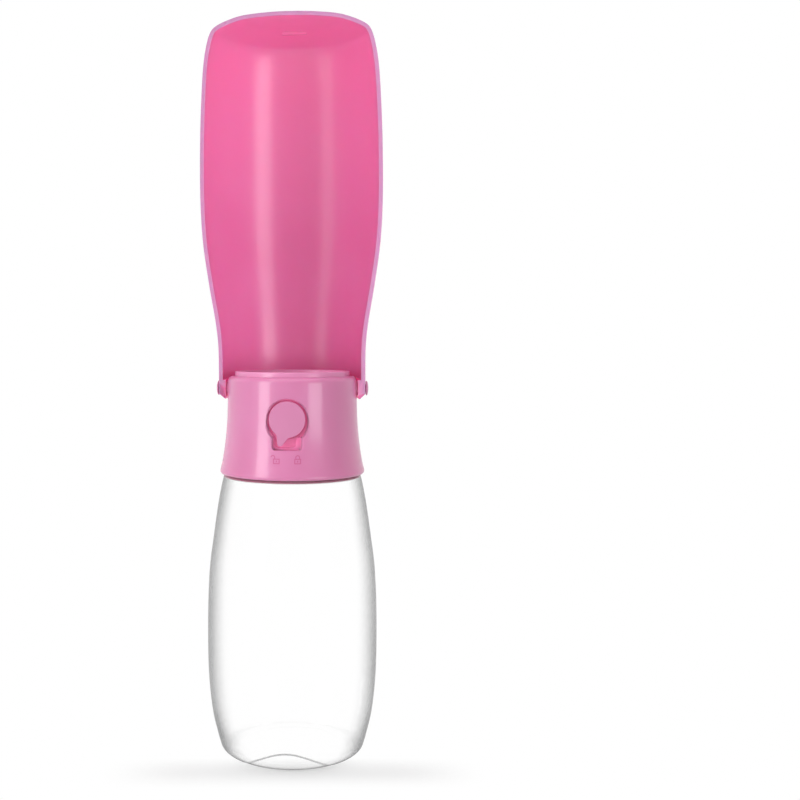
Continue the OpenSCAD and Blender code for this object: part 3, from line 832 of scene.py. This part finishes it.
class MakeCap(bpy.types.Operator):
    """Make the cap's shell with its recess, lock marks, hinge seats, stop and lanyard eye"""

    bl_idname = "water_bottle.cap"
    bl_label = "Cap"

    def execute(self, context):
        sizes = context.scene.cap_sizes
        colours = context.scene.colours
        outer, inner = cap_paths(sizes)
        hole, lip = 12.05 * MM, 0.35 * MM
        top = CAP_HIGH.z
        body = outer + [(hole, top), (hole, top - sizes.wall)] + inner[::-1]
        body += arc((inner[0][0] + 0.6 * MM, CAP_LOW.z + lip), lip, 180, 270, 3)[:-1]
        cap = turned("cap_body", body, 256)
        self.add_pad(cap, sizes)
        self.add_seats(cap, sizes)
        self.cut_recess(cap, sizes)
        self.paint_inside(cap, sizes)
        pink = moulded_plastic("cap_pink", colours.cap, colours.cap_deep, roughness=0.38, coat=0.5,
                               edge=0.5 * MM, milky=0.25, inside=colours.recess, glow=colours.glow)
        finish_piece(cap, pink, "cap", "pink_plastic", "cap_shell")
        self.add_marks(sizes, colours)
        return {"FINISHED"}

    @staticmethod
    def paint_inside(cap, sizes):
        """Paints the walls and floor of the recess, where the material adds a painted tint and a painted glow.
        """
        skin = sizes.radius - 0.5 * MM
        reach = sizes.recess_radius + 1.2 * MM

        def inside_at(point, index):
            across = math.hypot(point.x, point.z - BUTTON_Z + sizes.recess_drop)
            near = across < reach or (abs(point.x) < sizes.pocket_width + 1 * MM
                                      and -sizes.pocket_low - 1 * MM < point.z - BUTTON_Z < 0)
            if point.y > 0 or not near:
                return 0.0
            return soft_step(skin - math.hypot(point.x, point.y), 0, 0.5 * MM)

        paint(cap.data, "inside", inside_at)

    @staticmethod
    def add_pad(cap, sizes):
        """The tub behind the recess."""
        wall, behind, depth = 1.6 * MM, 2 * MM, 4.2 * MM
        at = to_front(0, sizes.recess_floor + behind)
        combine(cap, extruded("pad", recess_outline(sizes, wall), depth, at), "UNION")

    @staticmethod
    def add_seats(cap, sizes):
        """Seats of the hinge pins, the stop for the open trough and the ring of the lanyard eye."""
        inside, edge = 27.5 * MM, 0.35 * MM
        radius, face = sizes.seat_radius, sizes.seat_face
        rounded = arc((radius - edge, face - edge), edge, 0, 90, 4)
        for side in (-1, 1):
            outline = [(0, inside), (radius, inside)] + rounded + [(0, face)]
            combine(cap, turned("seat", outline, 64, to_side(side)), "UNION")
        half, low, high, back, deep = 4 * MM, HINGE_Z - 4.75 * MM, HINGE_Z - 1.75 * MM, 32.5 * MM, 2.6 * MM
        stop = extruded("stop", rectangle(-half, low, half, high), deep, to_front(0, back, 0))
        soften(stop, 0.4 * MM)
        combine(cap, stop, "UNION")
        hole, chamfer, ring, place, edge = 1.5 * MM, 1.2 * MM, 2.9 * MM, 0.85 * MM, 0.65 * MM
        outline = [(hole, -chamfer)] + arc((ring, -place), edge, 270, 360, 4)
        outline += arc((ring, place), edge, 0, 90, 4) + [(hole, chamfer)]
        at = to_side(1, sizes.eye_place, HINGE_Z - sizes.eye_drop)
        combine(cap, turned("eye", outline, 64, at), "UNION")

    @staticmethod
    def cut_recess(cap, sizes):
        """The recess's stepped edge, its deep part, the pocket with its ledge, and the hole for the hub."""
        step, ledge_floor, edge_floor = 0.55 * MM, -28.9 * MM, -29.6 * MM
        past, gap, hub = 20 * MM, 0.6 * MM, 3.3 * MM
        cuts = [(0.0, edge_floor, 0.0), (step, ledge_floor, 0.0)]
        cuts.append((2 * step, sizes.pocket_floor, sizes.ledge_width))
        for shrink, floor, right in cuts:
            outline = recess_outline(sizes, -shrink, right)
            combine(cap, extruded("pocket", outline, past, to_front(0, floor)), "DIFFERENCE")
        disc = arc((0, 0), sizes.button_radius + gap, 0, 360, 96)[:-1]
        combine(cap, extruded("recess", disc, past, to_front(0, sizes.recess_floor)), "DIFFERENCE")
        hole = [(0, -past / 2), (hub, -past / 2), (hub, past / 2), (0, past / 2)]
        combine(cap, turned("hub", hole, 48, to_front(0, sizes.recess_floor)), "DIFFERENCE")

    @staticmethod
    def add_marks(sizes, colours):
        """The lock marks: thin inlaid lines that follow the cap's side."""
        outer, _ = cap_paths(sizes)
        skin = [(radius + 0.02 * MM, height) for radius, height in outer]
        below = [(radius - 0.3 * MM, height) for radius, height in outer]
        pink = moulded_plastic("mark_pink", colours.mark, colours.mark, roughness=0.5)
        for name, x, is_open in (("lock_mark_open", -4.7 * MM, True), ("lock_mark_closed", 4.9 * MM, False)):
            mark = turned(name, skin + below[::-1])
            combine(mark, lock_bars(x, is_open), "INTERSECT", overlaps=True)
            finish_piece(mark, pink, "cap", "pink_plastic")


class MakeSpout(bpy.types.Operator):
    """Make the raised spout plate with its dish and outlet"""

    bl_idname = "water_bottle.spout"
    bl_label = "Spout plate"

    def execute(self, context):
        sizes = context.scene.cap_sizes
        colours = context.scene.colours
        low, top = CAP_HIGH.z, SPOUT_HIGH.z
        edge, hole, spigot = sizes.spout_radius, sizes.outlet_radius, 12 * MM
        outer, inner, rim = 0.5 * MM, 0.6 * MM, 3 * MM
        dish, slope = 1 * MM, 0.15 * MM
        outline = arc((edge - outer, top - outer), outer, 0, 90, 5)
        outline += arc((edge - rim + inner, top - inner), inner, 90, 180, 4)
        outline += [(edge - rim, top - dish), (hole + 1.4 * MM, top - dish - slope)]
        outline += arc((hole + outer, top - dish - slope - outer), outer, 90, 180, 4)
        outline += [(hole, SPOUT_LOW.z), (spigot, SPOUT_LOW.z), (spigot, low), (edge, low)]
        spout = turned("spout_top", outline)
        pink = moulded_plastic("spout_pink", colours.spout, colours.cap, roughness=0.35, coat=0.3)
        finish_piece(spout, pink, "cap", "pink_plastic", "spout_plate")
        return {"FINISHED"}


# ---- Button ----


class MakeButton(bpy.types.Operator):
    """Make the button, a drop shape whose point shows the lock's place"""

    bl_idname = "water_bottle.button"
    bl_label = "Button"

    def execute(self, context):
        sizes = context.scene.cap_sizes
        colours = context.scene.colours
        at = to_front() @ Matrix.Rotation(-sizes.swing, 4, "Z")
        thick = 1.2 * MM
        behind = Matrix.Translation((0, 0, -BUTTON_LOW.y - thick))
        front = extruded("button_drop", self.drop(sizes), thick, at @ behind)
        hub, disc, back, step, end = 3 * MM, 7.9 * MM, 24 * MM, 29.1 * MM, 30.9 * MM
        stem = [(0, back), (hub, back), (hub, step), (disc, step), (disc, end), (0, end)]
        combine(front, turned("hub", stem, 96, at), "UNION")
        soften(front, 0.55 * MM, steps=4)
        pink = moulded_plastic("button_pink", colours.button, colours.cap_deep, roughness=0.38, coat=0.4)
        finish_piece(front, pink, "button", "pink_plastic", "button")
        return {"FINISHED"}

    @staticmethod
    def drop(sizes):
        """The button's outline: a disc that runs into a rounded point through two small hollows."""
        radius, reach, tip = sizes.button_radius, sizes.button_reach, 1.3 * MM
        disc_angle = 27
        outline = arc((0, 0), radius, -90 + disc_angle, 270 - disc_angle, 72)
        left = outline[-1]
        right = outline[0]
        end = arc((0, -reach + tip), tip, 190, 350, 12)
        # Points of the hollows, as shares of the place where the disc ends.
        hollow = ((0.76, 1.07), (0.58, 1.25))
        left_side = smooth([left] + [(left[0] * x, left[1] * y) for x, y in hollow] + [end[0]], 6)
        right_side = smooth([end[-1]] + [(right[0] * x, right[1] * y) for x, y in hollow[::-1]] + [right], 6)
        return outline + left_side[1:-1] + end + right_side[1:-1]


# ---- Hinge pins ----


class MakePins(bpy.types.Operator):
    """Make the two hinge pins with their domed heads"""

    bl_idname = "water_bottle.pins"
    bl_label = "Hinge pins"

    def execute(self, context):
        colours = context.scene.colours
        tip, head = PIN_HIGH.x, PIN_HIGH.z - HINGE_Z
        seat, rise, shank, edge = tip - 1.2 * MM, 0.9 * MM, 1.85 * MM, 0.2 * MM
        outline = [(0, PIN_LOW.x), (shank, PIN_LOW.x), (shank, seat), (head - edge, seat)]
        outline += [(head * math.cos(math.radians(a)), tip - rise + rise * math.sin(math.radians(a)))
                    for a in range(0, 90, 9)]
        pink = moulded_plastic("pin_pink", colours.cap, colours.cap_deep, roughness=0.3, coat=0.2)
        for side, name in ((-1, "left"), (1, "right")):
            pin = turned(f"pin_{name}", outline + [(0, tip)], 64, to_side(side))
            finish_piece(pin, pink, "cap", "pink_plastic", f"hinge_pin_{name}")
        return {"FINISHED"}


# ---- Trough ----


class MakeTrough(bpy.types.Operator):
    """Make the folding trough: one moulded shell with a rounded rim and a thick band at the hinge"""

    bl_idname = "water_bottle.trough"
    bl_label = "Trough"

    def execute(self, context):
        sizes = context.scene.trough_sizes
        rows = self.rows(sizes)
        bm = bmesh.new()
        grid = [self.row(bm, sizes, kind, radius, height) for kind, radius, height in rows]
        for upper, lower in zip(grid, grid[1:]):
            for j in range(len(upper) - 1):
                bm.faces.new([upper[j], upper[j + 1], lower[j + 1], lower[j]])
        outer = self.close_end(bm, sizes, grid[0], 0)
        inner = self.close_end(bm, sizes, grid[-1], sizes.wall)
        outer_rows = next(i for i, row in enumerate(rows) if row[0] != "level")
        self.close_rim(bm, grid, outer_rows, outer, inner)
        trough = new_piece("trough_shell", bm, 32)
        self.cut_notch(trough)
        self.add_rib(trough, sizes)
        soften(trough, 0.45 * MM, angle=50)

        def inside_at(point, index):
            """The band's inner face, fading out above it, where the material adds a painted glow for light that
            soaks into the gap.
            """
            near = sizes.band_radius + 0.3 * MM - math.hypot(point.x, point.y)
            return soft_step(near, 0, 0.2 * MM) * soft_step(HINGE_Z + 6 * MM - point.z, 0, 1 * MM)

        paint(trough.data, "inside", inside_at)
        plastic = trough_plastic(sizes, context.scene.colours)
        finish_piece(trough, plastic, "trough", "pink_trough", "trough")
        return {"FINISHED"}

    @staticmethod
    def rows(sizes):
        """Rows from the end, down the outside, under the tail and up the inside to the end again."""
        swell = sizes.belly_radius - sizes.hinge_radius
        points = [(sizes.hinge_radius + k * swell, t * sizes.reach) for t, k in TROUGH_OUTLINE]
        points += [(k * sizes.belly_radius, t * sizes.reach) for t, k in TROUGH_END]
        outer = smooth(points, 10)
        limit = sizes.reach - sizes.wall
        inner = [(radius, min(height, limit)) for radius, height in inset(outer, sizes.wall)]
        keep = [i for i, (_, height) in enumerate(outer) if height > sizes.band_top + 1 * MM]
        down = [("level", *outer[i]) for i in reversed(keep)]
        tail = [("tail", sizes.hinge_radius, share) for share in (0.2, 0.45, 0.7, 0.9, 1.0)]
        under = [("foot", sizes.hinge_radius - sizes.chamfer, 0.0), ("foot", sizes.band_radius, 0.0)]
        band = [("band", sizes.band_radius, share) for share in (0.25, 0.5, 0.75, 1.0)]
        up = [("level", inner[keep[0]][0], sizes.band_top)] + [("level", *inner[i]) for i in keep]
        return down + tail + under + band + up

    def row(self, bm, sizes, kind, radius, height):
        """One row of points from rim to rim, on rays from the middle of the rim."""
        steps = 96
        verts = []
        for j in range(steps + 1):
            angle = math.pi * j / steps
            level = self.level_at(sizes, kind, radius * math.sin(angle), height)
            rim = self.rim_at(sizes, level)
            along = -rim * math.sin(angle) + math.sqrt(max(radius ** 2 - (rim * math.cos(angle)) ** 2, 0))
            point = Vector((along * math.cos(angle), rim + along * math.sin(angle), level))
            verts.append(bm.verts.new(self.leaned(sizes) @ point))
        return verts

    @staticmethod
    def level_at(sizes, kind, ahead, height):
        """A point's height: the tail's rows end at heights that are level when the trough stands open."""
        if kind == "level":
            return height
        foot, chamfer = [(up - ahead * math.sin(sizes.lean)) / math.cos(sizes.lean)
                         for up in (-sizes.tail, -sizes.tail + sizes.chamfer)]
        top = sizes.band_top + 1 * MM
        if kind == "tail":
            return top + (chamfer - top) * height
        return foot + (sizes.band_top - foot) * height

    @staticmethod
    def rim_at(sizes, level):
        """Where the rim lies, front to back: its lower corner is rounded."""
        above = level + sizes.tail
        if above >= sizes.corner:
            return -sizes.rim_past
        drop = sizes.corner - max(above, 0.0)
        return -sizes.rim_past + sizes.corner - math.sqrt(max(sizes.corner ** 2 - drop ** 2, 0))

    @staticmethod
    def leaned(sizes):
        return Matrix.Translation((0, 0, HINGE_Z)) @ Matrix.Rotation(sizes.lean, 4, "X")

    def close_end(self, bm, sizes, row, depth):
        """The flat middle of the end wall, as a fan from the middle of the rim, which it returns."""
        centre = bm.verts.new(self.leaned(sizes) @ Vector((0, -sizes.rim_past, sizes.reach - depth)))
        for near, far in zip(row, row[1:]):
            bm.faces.new([centre, near, far])
        return centre

    @staticmethod
    def close_rim(bm, grid, outer_rows, outer, inner):
        """The rim: matching rows of the outside and the inside are joined, and the tail's end is one face."""
        count = len(grid)
        for j in (0, -1):
            for i in range(outer_rows - 1):
                near, far = count - 1 - i, count - 2 - i
                bm.faces.new([grid[i][j], grid[i + 1][j], grid[far][j], grid[near][j]])
            bm.faces.new([grid[i][j] for i in range(outer_rows - 1, count - outer_rows + 1)])
        bm.faces.new([outer, grid[0][0], grid[-1][0], inner])
        bm.faces.new([outer, inner, grid[-1][-1], grid[0][-1]])

    @staticmethod
    def cut_notch(trough):
        """The notch at the back of the tail, where the cap's stop bears."""
        half, low, high, back, depth = 4.5 * MM, HINGE_Z - 15 * MM, HINGE_Z - 1.64 * MM, 45 * MM, 25 * MM
        notch = extruded("notch", rectangle(-half, low, half, high), depth, to_front(0, back, 0))
        combine(trough, notch, "DIFFERENCE")

    def add_rib(self, trough, sizes):
        """The short rib inside the end wall."""
        half, start, rooted = sizes.rib_width / 2, sizes.rib_place, 0.6 * MM
        low = HINGE_Z + sizes.rib_gap
        tall = sizes.reach - sizes.wall - low + rooted
        at = self.leaned(sizes) @ Matrix.Translation((0, 0, low))
        rib = extruded("rib", rectangle(-half, start, half, start + sizes.rib_thick), tall, at)
        combine(trough, rib, "UNION")


# ---- Inner pieces ----


class MakeValve(bpy.types.Operator):
    """Make the return spring and give the other inner pieces their finishes"""

    bl_idname = "water_bottle.valve"
    bl_label = "Valve"

    def execute(self, context):
        colours = context.scene.colours
        white = moulded_plastic("inner_white", colours.white, darker(colours.white, 0.93), roughness=0.45,
                                edge=0.3 * MM)
        rubber = soft_rubber("seal_rubber", colours.rubber)
        steel = turned_steel("turned_steel", colours.steel)
        dress(["threaded_liner", "valve_body", "end_plug", "gland"], white)
        seals = ["neck_seal", "plug_o_ring", "stem_o_ring", "inlet_washer", "outlet_washer", "poppet_seal"]
        dress(seals, rubber)
        dress(["valve_screws", "valve_stem", "spring_collar"], steel)
        self.make_spring(steel)
        return {"FINISHED"}

    @staticmethod
    def make_spring(steel):
        """A round wire coiled about the stem, with closed and flattened end turns."""
        low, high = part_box("valve_spring")
        wire = 0.35 * MM
        coil = high.x - wire
        turns, steps, sides = 7, 48, 10
        start, end = low.y + wire, high.y - wire
        total = turns * steps
        rings = []
        bm = bmesh.new()
        for i in range(total + 1):
            share = i / total
            pitch = min(max((share * turns - 1) / (turns - 2), 0), 1)
            even = 0.08 * math.sin(math.pi * share)
            y = start + (end - start) * ((1 - even) * pitch + even * share)
            angle = 2 * math.pi * turns * share
            out = Vector((math.cos(angle), 0, math.sin(angle)))
            ring = []
            for k in range(sides):
                around = 2 * math.pi * k / sides
                point = (coil + wire * math.cos(around)) * out
                point.y = y + wire * math.sin(around)
                ring.append(bm.verts.new(point + Vector((0, 0, BUTTON_Z))))
            rings.append(ring)
        add_tube(bm, rings)
        spring = new_piece("return_spring", bm)
        finish_piece(spring, steel, "stem", "steel", "valve_spring")
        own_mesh(spring)


# ---- Stage ----


def floor_material(settings):
    """A floor that is white to the camera and in reflections, and keeps a soft shadow before the foot."""
    made = Shader("stage_white")
    sine, cosine = math.sin(settings.azimuth), math.cos(settings.azimuth)
    across = made.size_of(made.axis("X") * cosine + made.axis("Y") * sine)
    ahead = made.size_of(made.axis("Y") * cosine - made.axis("X") * sine + settings.shadow_front)
    diffuse = made.node("ShaderNodeBsdfDiffuse", {}, {"Color": (0.8, 0.8, 0.8, 1)})
    glow = made.node("ShaderNodeEmission", {}, {"Color": WHITE, "Strength": 1.0})
    seen = made.ray("Is Camera Ray") + made.ray("Is Glossy Ray") + made.ray("Is Transmission Ray")
    shadowed = made.spread(across, settings.shadow_full, settings.shadow_reach, 1, 0)
    shadowed = shadowed * made.spread(ahead, 0, settings.shadow_depth, 1, 0)
    white = 1 - (1 - settings.plain_white) * shadowed
    return made.finished(made.mixed(seen * white, diffuse, glow))


class MakeStage(bpy.types.Operator):
    """Make the floor, the lights, the world and the camera"""

    bl_idname = "water_bottle.stage"
    bl_label = "Stage"

    def execute(self, context):
        settings = context.scene.stage_settings
        self.make_floor(settings)
        self.make_world(context.scene)
        self.make_lights()
        self.make_camera(context.scene, settings)
        context.scene.view_settings.view_transform = "Standard"
        return {"FINISHED"}

    @staticmethod
    def make_floor(settings):
        half = 6.0
        bm = bmesh.new()
        bm.faces.new([bm.verts.new((x, y, 0)) for x, y in rectangle(-half, -half, half, half)])
        floor = new_piece("stage_floor", bm)
        floor.data.materials.append(floor_material(settings))

    @staticmethod
    def make_world(scene):
        """A white room that is darker in front, where only glossy surfaces show it, and dimmer as a light."""
        made = Shader("white_studio", "worlds")
        card = made.spread(made.axis("Y", "Generated"), -0.25, 0.35, 0.6, 0.0)
        bright = 1 - made.ray("Is Glossy Ray") * card
        seen = made.node("ShaderNodeBackground", {}, {"Color": WHITE, "Strength": bright})
        lit = made.node("ShaderNodeBackground", {}, {"Color": WHITE, "Strength": 0.45})
        scene.world = made.finished(made.mixed(made.ray("Is Diffuse Ray"), seen, lit), "ShaderNodeOutputWorld")

    @staticmethod
    def make_lights():
        """A wide top light, and soft boxes in front: two for the trough and two for the rest.

        Each lamp has its name, place, aim, size and power, and whether it lights only the trough or all but it.
        """
        lamps = [
            ("top_light", (0.0, -0.2, 1.3), (0, 0, 0.1), (1.4, 1.4), 11.0, "EXCLUDE"),
            ("soft_box_left", (-0.78, -0.77, 0.32), (0, 0, 0.17), (0.40, 0.9), 8.1, "EXCLUDE"),
            ("soft_box_right", (0.78, -0.80, 0.06), (0, 0, 0.15), (0.48, 0.36), 3.2, "EXCLUDE"),
            ("trough_box_left", (-0.79, -0.68, 0.16), (0, 0, 0.26), (0.42, 0.9), 2.6, "INCLUDE"),
            ("trough_box_right", (0.71, -0.72, 0.16), (0, 0, 0.26), (0.42, 0.9), 5.0, "INCLUDE"),
        ]
        for name, place, aim, size, power, link in lamps:
            data = bpy.data.lights.new(name, "AREA")
            data.shape = "RECTANGLE"
            data.size, data.size_y = size
            data.energy = power
            lamp = bpy.data.objects.new(name, data)
            lamp.location = place
            lamp.rotation_euler = (Vector(aim) - Vector(place)).to_track_quat("-Z", "Y").to_euler()
            bpy.context.scene.collection.objects.link(lamp)
            group = bpy.data.collections.new(f"{name}_shines_on")
            group.objects.link(bpy.data.objects["trough_shell"])
            lamp.light_linking.receiver_collection = group
            group.collection_objects[0].light_linking.link_state = link

    @staticmethod
    def make_camera(scene, settings):
        data = bpy.data.cameras.new("camera")
        data.lens = settings.lens
        data.sensor_width = 36
        data.shift_x = settings.shift_x
        data.shift_y = settings.shift_y
        data.clip_end = 50
        camera = bpy.data.objects.new("camera", data)
        camera.location = (
            settings.distance * math.sin(settings.azimuth),
            -settings.distance * math.cos(settings.azimuth),
            settings.height,
        )
        camera.rotation_euler = (math.radians(90), 0, settings.azimuth)
        scene.collection.objects.link(camera)
        scene.camera = camera


# ---- Panel and registration ----


OPERATORS = (MakeBottle, MakeCap, MakeSpout, MakeButton, MakePins, MakeTrough, MakeValve, MakeStage)
GROUPS = {
    "bottle_sizes": BottleSizes,
    "cap_sizes": CapSizes,
    "trough_sizes": TroughSizes,
    "colours": Colours,
    "stage_settings": StageSettings,
}


class WaterBottlePanel(bpy.types.Panel):
    """Lists the bottle's sizes, colours and operators"""

    bl_idname = "VIEW3D_PT_water_bottle"
    bl_label = "Water Bottle"
    bl_space_type = "VIEW_3D"
    bl_region_type = "UI"
    bl_category = "Water Bottle"

    def draw(self, context):
        for name, group in GROUPS.items():
            box = self.layout.box()
            box.label(text=name.replace("_", " ").capitalize())
            for key in group.__annotations__:
                box.prop(getattr(context.scene, name), key, text=key.replace("_", " ").capitalize())
        for operator in OPERATORS:
            self.layout.operator(operator.bl_idname)


def register():
    for group in GROUPS.values():
        bpy.utils.register_class(group)
    for operator in OPERATORS:
        bpy.utils.register_class(operator)
    bpy.utils.register_class(WaterBottlePanel)
    for name, group in GROUPS.items():
        setattr(bpy.types.Scene, name, PointerProperty(type=group))


def unregister():
    for name in GROUPS:
        delattr(bpy.types.Scene, name)
    bpy.utils.unregister_class(WaterBottlePanel)
    for operator in reversed(OPERATORS):
        bpy.utils.unregister_class(operator)
    for group in reversed(list(GROUPS.values())):
        bpy.utils.unregister_class(group)


def main():
    register()
    for operator in OPERATORS:
        name = operator.bl_idname.split(".")[1]
        getattr(bpy.ops.water_bottle, name)()


if __name__ == "__main__":
    main()
